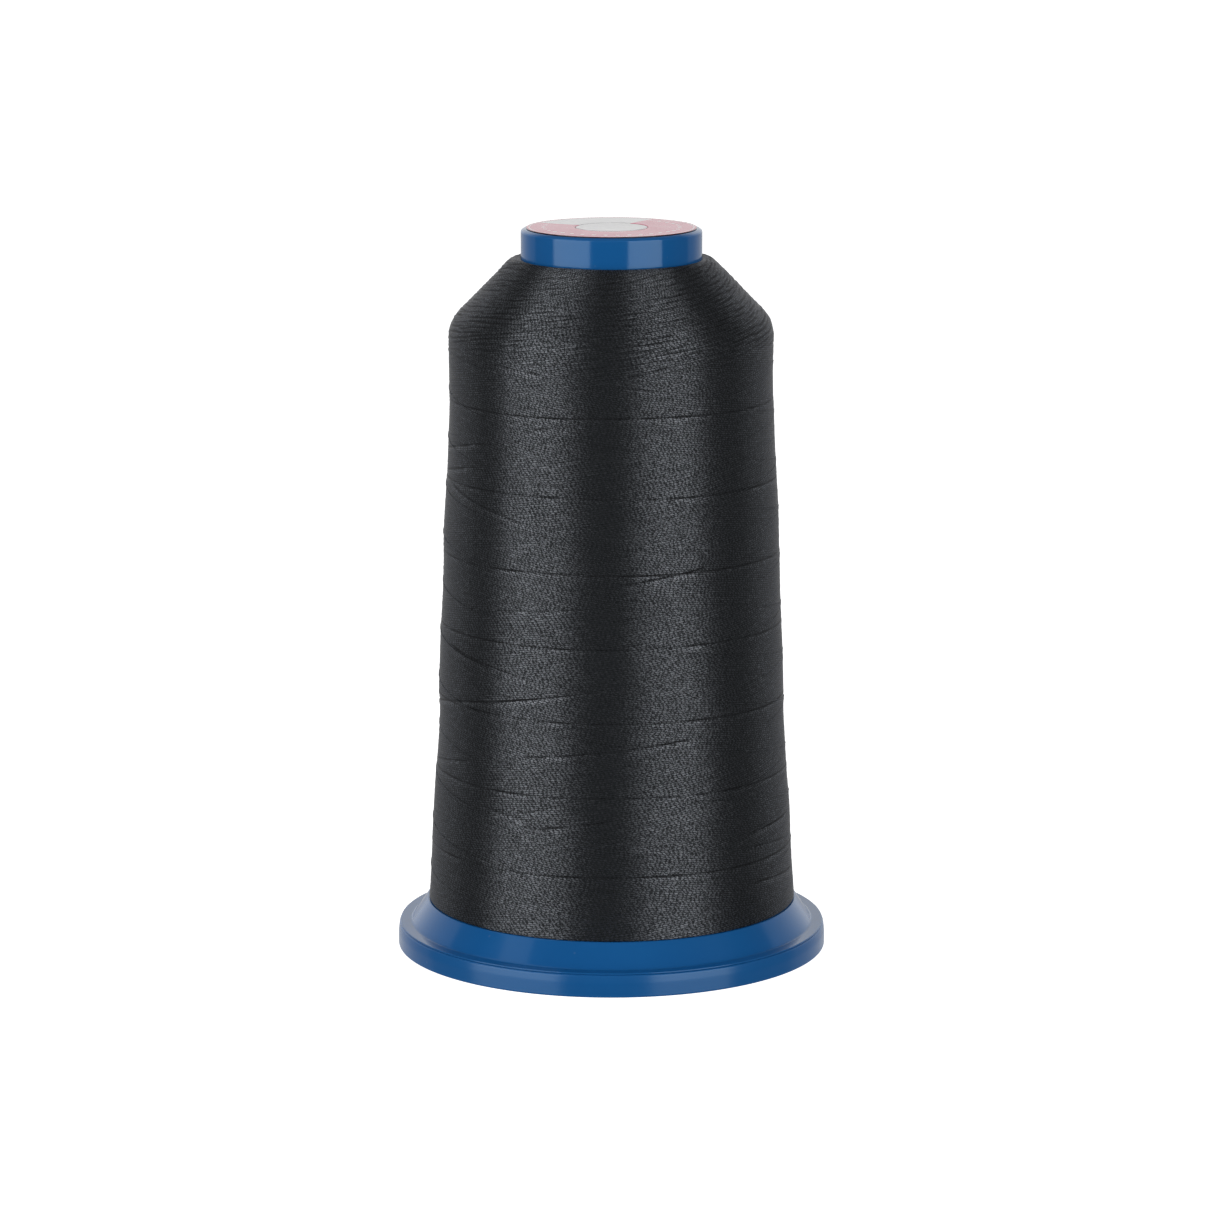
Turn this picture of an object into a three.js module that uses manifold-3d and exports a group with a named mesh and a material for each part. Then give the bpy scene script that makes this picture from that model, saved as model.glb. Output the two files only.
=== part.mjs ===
import * as THREE from 'three';
import { mergeVertices } from 'three/addons/utils/BufferGeometryUtils.js';
import Module from 'manifold-3d';

// A king-size spool of embroidery thread on its snap base. Millimetres, +Z up.
// The origin is the middle of the underside, and the spool stands on z = 0.

// ---- whole spool
const spoolHeight = 125;          // table to the top of the paper label
const baseRadius = 37.13;         // bottom edge of the snap base, the widest place
const roundSides = 48;            // facets round every turned shape

// ---- clearances
const threadSeat = 0.3;           // thread to the moulding that carries it
const seamGap = 0.15;              // shut snap base to the rim above it
const slideGap = 0.3;             // snap base to the skirt it slides on
const stopGap = 0.3;              // left between bead and hook when the base is open

// ---- spool body, one moulding
const wall = 1.5;                 // core, flange and foot
const collarRadius = 15.4;
const collarLength = 7.4;
const collarEdge = 1.0;           // rounding of the collar's top edge
const coreTopRadius = 14.6;       // outside of the core under the collar
const coreFootRadius = 24.5;      // outside of the core at the flange
const coreFillet = 1.2;           // where the core meets the flange
const webThickness = 1.6;
const spindleRadius = 5.5;        // hole for the spool pin
const guideWall = 1.5;            // sleeve round that hole
const guideLength = 7.5;
const ribCount = 6;               // webs from the sleeve to the core
const ribThickness = 1.2;
const rimInset = 0.1;             // the rim's edge stands inside the base's bottom edge
const rimTop = 4.2;
const rimThickness = 0.45;
const rimWidth = 2.4;             // flat step outside the foot cone
const rimEdge = 0.2;
const footFillet = 0.7;
const flangeEdge = 0.5;
const flangeMargin = 0.25;        // flange seen past the thread

// ---- snap base, the second moulding
const bandDraft = 0.23;           // the band leans in by this much to its top
const bandWall = 1.7;
const plateThickness = 1.2;
const sleeveWall = 1.3;
const beadDepth = 0.8;            // bead on the spool body's skirt
const beadHeight = 1.0;
const hookHeight = 1.0;
const hookRoom = 0.5;             // above the hooks
const fingerCount = 4;
const fingerAngle = 26;           // degrees that one spring finger spans
const fingerSlot = 1.2;
const skirtBottom = 0.9;          // skirt's height over the table
const snapTravel = 3.0;           // how far the base opens

// ---- thread package
const footRadius = 31.75;         // outside of the thread at the bottom
const waistRadius = 29.75;
const waistPlace = 0.4;           // share of the way from the bottom to the shoulder
const shoulderRadius = 27.7;
const shoulderDrop = 11.0;        // height of the cone between shoulder and collar
const shoulderRound = 2.5;
const collarShow = 4.8;           // collar seen above the thread
const packageLip = 1.3;           // flat edge of the thread round the collar
const packageEdge = 0.5;
const outerLayer = 0.35;          // depth of the loose outer turns over the plain package

// ---- outer turns, one unbroken thread
const threadDiameter = 0.25;
const layGap = 0.45;              // between turns where one crosses over another
const windSteps = 24;             // points in one turn
const windSides = 6;
const passTurnCount = 4;          // turns from one end of the package to the other
const roundTripCount = 3;         // passes up, each with one down
const reversalSteps = 4;          // over which the thread turns back
const windMargin = 1.6;           // from the package's ends

// ---- paper label
const labelRadius = 14.5;
const labelThickness = 0.2;
const labelCentreRadius = 6.1;
const dieCut = 0.15;              // cut between the label and its centre

// ---- heights and radii that follow
const collarTop = spoolHeight - labelThickness;
const collarBottom = collarTop - collarLength;
const hookBottom = skirtBottom + beadHeight + snapTravel + stopGap;
const hookTop = hookBottom + hookHeight;
const flangeUnder = hookTop + hookRoom;
const flangeTop = flangeUnder + wall;
const flangeRadius = footRadius + flangeMargin;
const rimRadius = baseRadius - rimInset;
const rimUnder = rimTop - rimThickness;
const toeRadius = rimRadius - rimWidth;
const bandTopRadius = baseRadius - bandDraft;
const sleeveInner = coreFootRadius + beadDepth + slideGap;
const sleeveOuter = sleeveInner + sleeveWall;
const packageBottom = flangeTop + threadSeat;
const packageTop = collarTop - collarShow;
const shoulderHeight = packageTop - shoulderDrop;

const blue = new THREE.MeshStandardMaterial({ color: 0x1b5290, roughness: 0.32, metalness: 0 });
const black = new THREE.MeshStandardMaterial({ color: 0x26292b, roughness: 0.6, metalness: 0 });
const grey = new THREE.MeshStandardMaterial({ color: 0x3c4043, roughness: 0.5, metalness: 0 });
const red = new THREE.MeshStandardMaterial({ color: 0xc8324a, roughness: 0.55, metalness: 0 });
const white = new THREE.MeshStandardMaterial({ color: 0xe8e6e6, roughness: 0.55, metalness: 0 });

// ---- shared shapes

const degrees = (angle) => angle * Math.PI / 180;

// points on a round corner of a profile, from one angle to another
function corner(x, z, radius, from, to, pieces = 3) {
  const points = [];
  for (let i = 0; i <= pieces; i += 1) {
    const angle = degrees(from + (to - from) * i / pieces);
    points.push([x + radius * Math.cos(angle), z + radius * Math.sin(angle)]);
  }
  return points;
}

// a profile of [radius, height] points, counter-clockwise, turned about Z
function turned(profile) {
  const loop = [...profile, profile[0]].map(([radius, height]) => new THREE.Vector2(radius, height));
  return new THREE.LatheGeometry(loop, roundSides).rotateX(Math.PI / 2);
}

// a flat outline raised along Z
function raised(shape, bottom, height) {
  const options = { depth: height, bevelEnabled: false, curveSegments: roundSides / 2 };
  return new THREE.ExtrudeGeometry(shape, options).translate(0, 0, bottom);
}

function weld(geometry) {
  const bare = geometry.clone();
  bare.deleteAttribute('normal');
  bare.deleteAttribute('uv');
  return mergeVertices(bare, 1e-4);
}

const wasm = await Module();
wasm.setup();

function toSolid(geometry) {
  const bare = weld(geometry);
  const vertProperties = new Float32Array(bare.attributes.position.array);
  const triVerts = new Uint32Array(bare.index.array);
  return new wasm.Manifold(new wasm.Mesh({ numProp: 3, vertProperties, triVerts }));
}

function toGeometry(solid) {
  const mesh = solid.getMesh();
  const geometry = new THREE.BufferGeometry();
  geometry.setAttribute('position', new THREE.BufferAttribute(mesh.vertProperties, 3));
  geometry.setIndex(new THREE.BufferAttribute(mesh.triVerts, 1));
  geometry.computeVertexNormals();
  return geometry;
}

function joined(base, extras) {
  return extras.reduce((solid, extra) => solid.add(toSolid(extra)), base);
}

function cut(base, tools) {
  return tools.reduce((solid, tool) => solid.subtract(toSolid(tool)), base);
}

function named(name, geometry, material) {
  const mesh = new THREE.Mesh(geometry, material);
  mesh.name = name;
  return mesh;
}

// ---- spool body

// outside radius of the tapered core at a height
function coreRadius(height) {
  const share = (height - flangeTop) / (collarBottom - flangeTop);
  return coreFootRadius + (coreTopRadius - coreFootRadius) * share;
}

function footProfile() {
  const rise = flangeTop - rimTop;
  const steep = Math.atan2(rise, toeRadius - flangeRadius) * 180 / Math.PI;
  return [
    ...corner(rimRadius - rimEdge, rimUnder + rimEdge, rimEdge, -90, 0, 2),
    ...corner(rimRadius - rimEdge, rimTop - rimEdge, rimEdge, 0, 90, 2),
    ...corner(toeRadius + footFillet, rimTop + footFillet, footFillet, -90, -90 - steep),
    ...corner(flangeRadius - flangeEdge, flangeTop - flangeEdge, flangeEdge, 90 - steep, 90, 2),
  ];
}

function coreProfile() {
  return [
    [coreFootRadius + coreFillet, flangeTop],
    [coreRadius(flangeTop + coreFillet), flangeTop + coreFillet],
    [coreTopRadius, collarBottom],
    [collarRadius, collarBottom + collarRadius - coreTopRadius],
    ...corner(collarRadius - collarEdge, collarTop - collarEdge, collarEdge, 0, 90),
  ];
}

function hollowProfile() {
  const webUnder = collarTop - webThickness;
  const guideBottom = webUnder - guideLength;
  return [
    [spindleRadius, collarTop],
    [spindleRadius, guideBottom],
    [spindleRadius + guideWall, guideBottom],
    [spindleRadius + guideWall, webUnder],
    [coreTopRadius - wall, webUnder],
    [coreTopRadius - wall, collarBottom],
    [coreFootRadius - wall, flangeTop],
    [coreFootRadius - wall, skirtBottom],
  ];
}

function skirtProfile() {
  const beadRadius = coreFootRadius + beadDepth;
  return [
    [beadRadius - beadHeight / 2, skirtBottom],
    [beadRadius, skirtBottom + beadHeight / 2],
    [beadRadius, skirtBottom + beadHeight],
    [coreFootRadius, skirtBottom + beadHeight],
    [coreFootRadius, flangeUnder],
    [flangeRadius - wall, flangeUnder],
    [toeRadius - wall, rimUnder],
  ];
}

function guideRib(index) {
  const inner = spindleRadius + guideWall / 2;
  const outer = coreTopRadius - wall / 2;
  const webMiddle = collarTop - webThickness / 2;
  const height = guideLength * 0.7 + webThickness / 2;
  const rib = new THREE.BoxGeometry(outer - inner, ribThickness, height);
  rib.translate((inner + outer) / 2, 0, webMiddle - height / 2);
  return rib.rotateZ(index * 2 * Math.PI / ribCount);
}

function makeSpoolBody() {
  const profile = [...skirtProfile(), ...footProfile(), ...coreProfile(), ...hollowProfile()];
  const ribs = Array.from({ length: ribCount }, (unused, index) => guideRib(index));
  return named('spool_body', toGeometry(joined(toSolid(turned(profile)), ribs)), blue);
}

// ---- snap base

function fingerPlaces() {
  return Array.from({ length: fingerCount }, (unused, index) => (index + 0.5) * 360 / fingerCount);
}

// the inward hook at the top of one spring finger
function fingerHook(place) {
  const inner = coreFootRadius + slideGap;
  const outer = sleeveInner + sleeveWall / 2;
  const from = degrees(place - fingerAngle / 2);
  const to = degrees(place + fingerAngle / 2);
  const outline = new THREE.Shape();
  outline.absarc(0, 0, outer, from, to, false);
  outline.absarc(0, 0, inner, to, from, true);
  return new THREE.ExtrudeGeometry(outline, { depth: hookHeight, bevelEnabled: false, curveSegments: 6 })
    .translate(0, 0, hookBottom);
}

function fingerSlots(place) {
  const bottom = plateThickness;
  const height = hookTop - bottom + 1;
  const length = 3 * (sleeveOuter - coreFootRadius);
  const half = degrees(fingerAngle / 2) + fingerSlot / sleeveInner / 2;
  return [-half, half].map((offset) => new THREE.BoxGeometry(length, fingerSlot, height)
    .translate(sleeveInner, 0, bottom + height / 2)
    .rotateZ(degrees(place) + offset));
}

function makeSnapBase() {
  const bandTop = rimUnder - seamGap;
  const bandInner = bandTopRadius - bandWall;
  const profile = [
    [sleeveInner, 0],
    [baseRadius - rimEdge, 0],
    [baseRadius, rimEdge],
    [bandTopRadius, bandTop - rimEdge],
    [bandTopRadius - rimEdge, bandTop],
    [bandInner, bandTop],
    [bandInner, plateThickness],
    [sleeveOuter, plateThickness],
    [sleeveOuter, hookTop],
    [sleeveInner, hookTop],
  ];
  const ring = toSolid(turned(profile));
  const hooked = joined(ring, fingerPlaces().map(fingerHook));
  return named('snap_base', toGeometry(cut(hooked, fingerPlaces().flatMap(fingerSlots))), blue);
}

// ---- thread package

// the thread's outside from the bottom, 0, to the shoulder, 1
const packageSide = new THREE.SplineCurve([
  new THREE.Vector2(footRadius, 0),
  new THREE.Vector2((footRadius + waistRadius) / 2, waistPlace / 2),
  new THREE.Vector2(waistRadius, waistPlace),
  new THREE.Vector2((waistRadius + shoulderRadius) / 2, (waistPlace + 0.9) / 2),
  new THREE.Vector2(shoulderRadius, 0.9),
  new THREE.Vector2(shoulderRadius, 1),
]);

// radius of the plain package at a height, by halving along its side
function packageRadius(height) {
  const place = (height - packageBottom) / (shoulderHeight - packageBottom);
  let low = 0;
  let high = 1;
  for (let i = 0; i < 24; i += 1) {
    const middle = (low + high) / 2;
    if (packageSide.getPoint(middle).y < place) low = middle;
    else high = middle;
  }
  return packageSide.getPoint(low).x - outerLayer;
}

// angle of the cone above the shoulder from the vertical, and where the side ends below its round
const coneTopRadius = collarRadius + threadSeat + packageLip;
const coneLean = Math.atan2(shoulderRadius - outerLayer - coneTopRadius, shoulderDrop) * 180 / Math.PI;
const sideTop = shoulderHeight - shoulderRound * Math.tan(degrees(coneLean / 2));

function makePackage() {
  const sidePieces = 9;
  const side = [];
  for (let i = 1; i < sidePieces; i += 1) {
    const height = packageBottom + (sideTop - packageBottom) * i / sidePieces;
    side.push([packageRadius(height), height]);
  }
  const foot = packageRadius(packageBottom + packageEdge) - packageEdge;
  const shoulder = shoulderRadius - outerLayer - shoulderRound;
  const bore = collarRadius + threadSeat;
  const drop = collarRadius - coreTopRadius;
  const profile = [
    [coreFootRadius + coreFillet + threadSeat, packageBottom],
    ...corner(foot, packageBottom + packageEdge, packageEdge, -90, 0, 2),
    ...side,
    ...corner(shoulder, sideTop, shoulderRound, 0, coneLean),
    [coneTopRadius, packageTop],
    [bore, packageTop],
    [bore, collarBottom + drop - threadSeat],
    [coreTopRadius + threadSeat, collarBottom - threadSeat],
    [coreRadius(packageBottom + coreFillet) + threadSeat, packageBottom + coreFillet],
  ];
  return named('thread_package', turned(profile), black);
}

// ---- outer turns

// height share, 0 to 1, and layer share, 0 or 1, of the thread at a step of its route
function windPlace(step, passSteps) {
  const cycle = step % (2 * passSteps);
  const down = cycle > passSteps;
  const along = down ? 2 * passSteps - cycle : cycle;
  const toTurn = Math.min(along, passSteps - along);
  const eased = toTurn < reversalSteps
    ? (toTurn * toTurn + reversalSteps * reversalSteps) / (2 * reversalSteps)
    : toTurn;
  const height = (along < passSteps / 2 ? eased : passSteps - eased) / passSteps;
  const blend = THREE.MathUtils.smoothstep(toTurn, 0, reversalSteps - 1) / 2;
  return { height, layer: down ? 0.5 + blend : 0.5 - blend };
}

// points of the thread: up on the inner level and down on the outer one, each round trip
// a third of a turn on from the last
function windRoute() {
  const passSteps = passTurnCount * windSteps - windSteps / roundTripCount / 2;
  const bottom = packageBottom + windMargin;
  const length = sideTop - windMargin - bottom;
  const chord = Math.cos(Math.PI / windSteps);
  const points = [];
  for (let step = 0; step <= 2 * roundTripCount * passSteps; step += 1) {
    const { height, layer } = windPlace(step, passSteps);
    const z = bottom + height * length;
    const seat = (packageRadius(z) + threadSeat + threadDiameter / 2) / chord;
    const radius = seat + layer * (threadDiameter + layGap);
    const angle = step * 2 * Math.PI / windSteps;
    points.push(new THREE.Vector3(radius * Math.cos(angle), radius * Math.sin(angle), z));
  }
  return points;
}

// both ends turn in, square to the package, for one diameter of thread
function tuckEnds(points) {
  const inward = (point) => new THREE.Vector3(-point.x, -point.y, 0).normalize();
  const tuck = (last, before) => {
    const ahead = last.clone().sub(before).normalize();
    const knee = last.clone().addScaledVector(ahead, threadDiameter * 0.5)
      .addScaledVector(inward(last), threadDiameter * 0.2);
    const tip = knee.clone().addScaledVector(inward(knee), threadDiameter);
    return [knee, tip];
  };
  const start = tuck(points[0], points[1]).reverse();
  const end = tuck(points.at(-1), points.at(-2));
  return [...start, ...points, ...end];
}

// least distance between stretches of the thread that aren't neighbours
function leastGap(points) {
  const pieces = 6;
  const apart = windSteps / 2 * pieces;
  const samples = [];
  for (let i = 0; i + 1 < points.length; i += 1) {
    for (let j = 0; j < pieces; j += 1) samples.push(points[i].clone().lerp(points[i + 1], j / pieces));
  }
  let least = Infinity;
  for (let i = 0; i < samples.length; i += 1) {
    for (let j = i + apart; j < samples.length; j += 1) {
      least = Math.min(least, samples[i].distanceToSquared(samples[j]));
    }
  }
  return Math.sqrt(least) - threadDiameter;
}

// a tube of flat-sided rings, closed at both ends
function threadTube(points) {
  const up = new THREE.Vector3(0, 0, 1);
  const positions = [];
  points.forEach((point, i) => {
    const before = points[Math.max(i - 1, 0)];
    const after = points[Math.min(i + 1, points.length - 1)];
    const ahead = after.clone().sub(before).normalize();
    const across = up.clone().addScaledVector(ahead, -up.dot(ahead)).normalize();
    const out = new THREE.Vector3().crossVectors(ahead, across);
    for (let side = 0; side < windSides; side += 1) {
      const angle = side * 2 * Math.PI / windSides;
      const offset = out.clone().multiplyScalar(Math.cos(angle)).addScaledVector(across, Math.sin(angle));
      positions.push(...point.clone().addScaledVector(offset, threadDiameter / 2));
    }
  });
  const index = [];
  for (let ring = 0; ring + 1 < points.length; ring += 1) {
    for (let side = 0; side < windSides; side += 1) {
      const a = ring * windSides + side;
      const b = ring * windSides + (side + 1) % windSides;
      index.push(a, a + windSides, b, b, a + windSides, b + windSides);
    }
  }
  const last = (points.length - 1) * windSides;
  for (let side = 1; side + 1 < windSides; side += 1) {
    index.push(0, side, side + 1);
    index.push(last, last + side + 1, last + side);
  }
  const geometry = new THREE.BufferGeometry();
  geometry.setAttribute('position', new THREE.Float32BufferAttribute(positions, 3));
  geometry.setIndex(index);
  geometry.computeVertexNormals();
  return geometry;
}

function makeWinding() {
  const route = windRoute();
  const turns = (route.length - 1) / windSteps;
  console.log(`outer turns: ${turns} turns, least gap to itself ${leastGap(route).toFixed(3)} mm`);
  return named('thread_outer_turns', threadTube(tuckEnds(route)), grey);
}

// ---- paper label

function makeLabel() {
  const outline = new THREE.Shape().absarc(0, 0, labelRadius, 0, 2 * Math.PI, false);
  const middle = new THREE.Path().absarc(0, 0, labelCentreRadius + dieCut, 0, 2 * Math.PI, true);
  outline.holes.push(middle);
  return named('top_label', raised(outline, collarTop, labelThickness), red);
}

function makeLabelCentre() {
  const outline = new THREE.Shape().absarc(0, 0, labelCentreRadius, 0, 2 * Math.PI, false);
  return named('label_centre', raised(outline, collarTop, labelThickness), white);
}

// ---- the spool

const spool = new THREE.Group();
spool.add(makeSnapBase(), makeSpoolBody(), makePackage(), makeWinding(), makeLabel(), makeLabelCentre());

export default spool;
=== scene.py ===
import math
import bmesh
import bpy
import numpy as np
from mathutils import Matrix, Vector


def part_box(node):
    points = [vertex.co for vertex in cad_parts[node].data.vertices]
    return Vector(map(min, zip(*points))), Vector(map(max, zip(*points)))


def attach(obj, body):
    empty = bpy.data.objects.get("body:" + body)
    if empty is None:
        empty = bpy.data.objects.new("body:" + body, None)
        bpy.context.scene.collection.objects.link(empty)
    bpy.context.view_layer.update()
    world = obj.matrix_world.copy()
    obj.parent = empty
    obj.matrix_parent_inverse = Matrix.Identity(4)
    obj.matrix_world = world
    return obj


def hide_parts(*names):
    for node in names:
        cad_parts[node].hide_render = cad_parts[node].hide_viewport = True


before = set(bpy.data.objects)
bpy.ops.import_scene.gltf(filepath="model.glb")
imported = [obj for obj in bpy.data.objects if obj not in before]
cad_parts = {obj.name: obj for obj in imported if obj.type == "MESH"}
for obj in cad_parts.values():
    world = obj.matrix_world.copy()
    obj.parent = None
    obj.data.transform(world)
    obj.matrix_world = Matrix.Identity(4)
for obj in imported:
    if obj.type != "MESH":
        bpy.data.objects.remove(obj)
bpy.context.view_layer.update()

mm = 0.001
tau = 2 * math.pi
print("frame loaded:", ", ".join(sorted(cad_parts)))


photoCamera = dict(
    distance=802.6 * mm,   # from the spool's axis, towards -Y
    height=220.1 * mm,     # over the table
    pitch=11.37,           # degrees down
    focal=4749,            # pixels, in a frame of 1220
    frameSize=1220,
    centreX=611.5,         # pixel column that the lens axis passes
    sensor=36.0,
)


def setCamera(spec):
    data = bpy.data.cameras.new("photoCamera")
    data.sensor_width = spec["sensor"]
    data.lens = spec["sensor"] * spec["focal"] / spec["frameSize"]
    data.shift_x = (spec["frameSize"] / 2 - spec["centreX"]) / spec["frameSize"]
    data.clip_start = 0.01
    camera = bpy.data.objects.new("photoCamera", data)
    camera.location = (0, -spec["distance"], spec["height"])
    camera.rotation_euler = (math.radians(90 - spec["pitch"]), 0, 0)
    bpy.context.scene.collection.objects.link(camera)
    bpy.context.scene.camera = camera


class Tree:     # short ways to add and join nodes in one node tree
    def __init__(self, tree):
        self.nodes, self.links = tree.nodes, tree.links

    def add(self, kind, **settings):
        node = self.nodes.new("ShaderNode" + kind)
        for key, value in settings.items():
            setattr(node, key, value)
        return node

    def feed(self, socket, value):
        if isinstance(value, bpy.types.NodeSocket):
            self.links.new(value, socket)
        elif value is not None:
            socket.default_value = value

    def math(self, operation, *values, clamp=False):
        node = self.add("Math", operation=operation, use_clamp=clamp)
        for socket, value in zip(node.inputs, values):
            self.feed(socket, value)
        return node.outputs[0]

    def span(self, value, low, high, toLow=0.0, toHigh=1.0, **settings):
        node = self.add("MapRange", **settings)
        for socket, item in zip(node.inputs, (value, low, high, toLow, toHigh)):
            self.feed(socket, item)
        return node.outputs[0]

    def noise(self, vector, scale, detail, roughness=0.55, distortion=0.0):
        node = self.add("TexNoise")
        self.feed(node.inputs["Vector"], vector)
        for key, value in (("Scale", scale), ("Detail", detail), ("Roughness", roughness),
                           ("Distortion", distortion)):
            self.feed(node.inputs[key], value)
        return node.outputs[0]

    def mixColor(self, factor, first, second):
        node = self.add("Mix", data_type="RGBA")
        self.feed(node.inputs[0], factor)
        self.feed(node.inputs[6], first)
        self.feed(node.inputs[7], second)
        return node.outputs[2]

    def combine(self, x, y, z):
        node = self.add("CombineXYZ")
        for socket, value in zip(node.inputs, (x, y, z)):
            self.feed(socket, value)
        return node.outputs[0]


def newGroup(name, inputs, outputs):
    group = bpy.data.node_groups.new(name, "ShaderNodeTree")
    for label, kind, default in inputs:
        socket = group.interface.new_socket(name=label, in_out="INPUT", socket_type="NodeSocket" + kind)
        if default is not None:
            socket.default_value = default
    for label, kind in outputs:
        group.interface.new_socket(name=label, in_out="OUTPUT", socket_type="NodeSocket" + kind)
    tree = Tree(group)
    return group, tree, group.nodes.new("NodeGroupInput"), group.nodes.new("NodeGroupOutput")


def newMaterial(name):
    material = bpy.data.materials.new(name)
    material.use_nodes = True
    tree = Tree(material.node_tree)
    return material, tree, material.node_tree.nodes["Principled BSDF"]


def placeGroup(tree, group, **values):
    node = tree.add("Group", node_tree=group)
    for label, value in values.items():
        tree.feed(node.inputs[label], value)
    return node


def setBump(tree, shader, height, strength, distance):
    bump = tree.add("Bump")
    bump.inputs["Strength"].default_value = strength
    bump.inputs["Distance"].default_value = distance
    tree.feed(bump.inputs["Height"], height)
    tree.feed(shader.inputs["Normal"], bump.outputs[0])


studio = dict(
    floorRadius=9.0,
    floorSides=96,
    floorGrey=(0.8, 0.8, 0.8, 1),
    floorRoughness=0.9,
    frontGlow=0.02,        # light of the room on the camera's side
    sideGlow=0.12,         # and beside the table
    edgeGlow=0.35,         # of the white screens behind it, at their edges
    backGlow=0.95,         # and in the middle
    topShare=0.12,         # what is left of the screens overhead
    lowShare=0.58,         # and in the glossy table
    tableGlow=0.09,        # the table itself, close by
    roomGlow=0.14,         # of the room above the table, behind the camera
    ceilingShare=0.3,      # what is left of it overhead
    # where each sets in, round the room, from -1 over the camera to 1 straight behind the spool
    sideSpan=(-0.4, 0.1),
    edgeSpan=(0.36, 0.43),
    backSpan=(0.45, 0.97),
    roomSpan=(0.1, -0.3),
    # and up the room, from -1 straight down to 1 straight up
    topSpan=(0.34, 0.66),
    lowSpan=(-0.12, 0.0),
    tableSpan=(-0.32, -0.12),
    horizonSpan=(-0.1, 0.04),
    ceilingSpan=(0.6, 0.8),
    boxDistance=1.25,
    boxes=[("leftSoftbox", -52.5, 1.19), ("rightSoftbox", 43.5, 1.04)],   # degrees from the camera, width
    # each softbox, and its likeness in the glossy table: lowest and highest point, and brightness against
    # white paper's 1
    panels=[("", -0.08, 1.04, 2.0), ("InTable", -0.48, -0.08, 0.95)],
    aimHeight=0.06,        # the two lamps above face this height, and only the first shows in the gloss
    overhead=dict(azimuth=-84.0, elevation=56.0, distance=1.4, size=0.9, glow=0.45, inGloss=True),
    fill=dict(azimuth=180.0, elevation=80.0, distance=1.4, size=1.0, glow=0.5, inGloss=False),
)


# a lamp's face that turns to the spool, from so many degrees right of the camera and over the table
def addPanel(name, azimuth, elevation, distance, lift, width, tall, glow):
    angle, tilt = math.radians(azimuth), math.radians(elevation)
    data = bpy.data.lights.new(name, "AREA")
    data.shape = "RECTANGLE"
    data.size, data.size_y = width, tall
    data.energy = glow * math.pi * width * tall
    light = bpy.data.objects.new(name, data)
    level = distance * math.cos(tilt)
    light.location = (level * math.sin(angle), -level * math.cos(angle), lift + distance * math.sin(tilt))
    light.rotation_euler = (math.radians(90) - tilt, 0, angle)
    light.visible_camera = False
    bpy.context.scene.collection.objects.link(light)
    return light


def addFloor(spec):
    sides = range(spec["floorSides"])
    turns = [tau * i / spec["floorSides"] for i in sides]
    edge = [(spec["floorRadius"] * math.cos(a), spec["floorRadius"] * math.sin(a), 0) for a in turns]
    mesh = bpy.data.meshes.new("floor")
    mesh.from_pydata(edge, [], [list(sides)])
    floor = bpy.data.objects.new("floor", mesh)
    bpy.context.scene.collection.objects.link(floor)
    material, tree, shader = newMaterial("paperSweep")
    shader.inputs["Base Color"].default_value = spec["floorGrey"]
    shader.inputs["Roughness"].default_value = spec["floorRoughness"]
    shader.inputs["Specular IOR Level"].default_value = 0.0
    shader.inputs["Emission Color"].default_value = (1, 1, 1, 1)
    shader.inputs["Emission Strength"].default_value = 1.0
    # clear from below, so that the underside of the spool can be looked at
    mix = tree.add("MixShader")
    tree.feed(mix.inputs[0], tree.add("NewGeometry").outputs["Backfacing"])
    tree.feed(mix.inputs[1], shader.outputs[0])
    tree.feed(mix.inputs[2], tree.add("BsdfTransparent").outputs[0])
    tree.feed(tree.nodes["Material Output"].inputs[0], mix.outputs[0])
    mesh.materials.append(material)
    # the photograph's white is a bare cut-out: the floor is seen, and the softboxes reach below it
    floor.visible_diffuse = False
    floor.visible_glossy = False
    floor.visible_shadow = False


def makeRoom(spec):
    world = bpy.data.worlds.new("studioRoom")
    bpy.context.scene.world = world
    world.use_nodes = True
    tree = Tree(world.node_tree)

    def ease(value, span, start, end):
        return tree.span(value, *span, start, end, interpolation_type="SMOOTHSTEP")

    split = tree.add("SeparateXYZ")
    tree.feed(split.inputs[0], tree.add("TexCoord").outputs["Generated"])
    x, y, z = split.outputs
    level = tree.math("SQRT", tree.math("ADD", tree.math("MULTIPLY", x, x), tree.math("MULTIPLY", y, y)))
    back = tree.math("DIVIDE", y, level)
    side = ease(back, spec["sideSpan"], spec["frontGlow"], spec["sideGlow"])
    edge = ease(back, spec["edgeSpan"], 0.0, spec["edgeGlow"])
    rear = ease(back, spec["backSpan"], edge, spec["backGlow"] - spec["sideGlow"])
    high = ease(z, spec["topSpan"], 1.0, spec["topShare"])
    low = ease(z, spec["lowSpan"], spec["lowShare"], 1.0)
    screens = tree.math("MULTIPLY", tree.math("ADD", side, rear), tree.math("MULTIPLY", high, low))
    table = ease(z, spec["tableSpan"], spec["tableGlow"], 0.0)
    room = tree.math("MULTIPLY", ease(back, spec["roomSpan"], 0.0, spec["roomGlow"]),
                     ease(z, spec["horizonSpan"], 0.0, 1.0))
    room = tree.math("MULTIPLY", room, ease(z, spec["ceilingSpan"], 1.0, spec["ceilingShare"]))
    glow = tree.math("ADD", tree.math("ADD", screens, table), room)
    seen = tree.add("LightPath").outputs["Is Camera Ray"]
    tree.feed(tree.nodes["Background"].inputs["Color"], tree.math("MAXIMUM", glow, seen))
    scene = bpy.context.scene
    scene.view_settings.view_transform = "Standard"
    scene.view_settings.look = "None"


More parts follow.
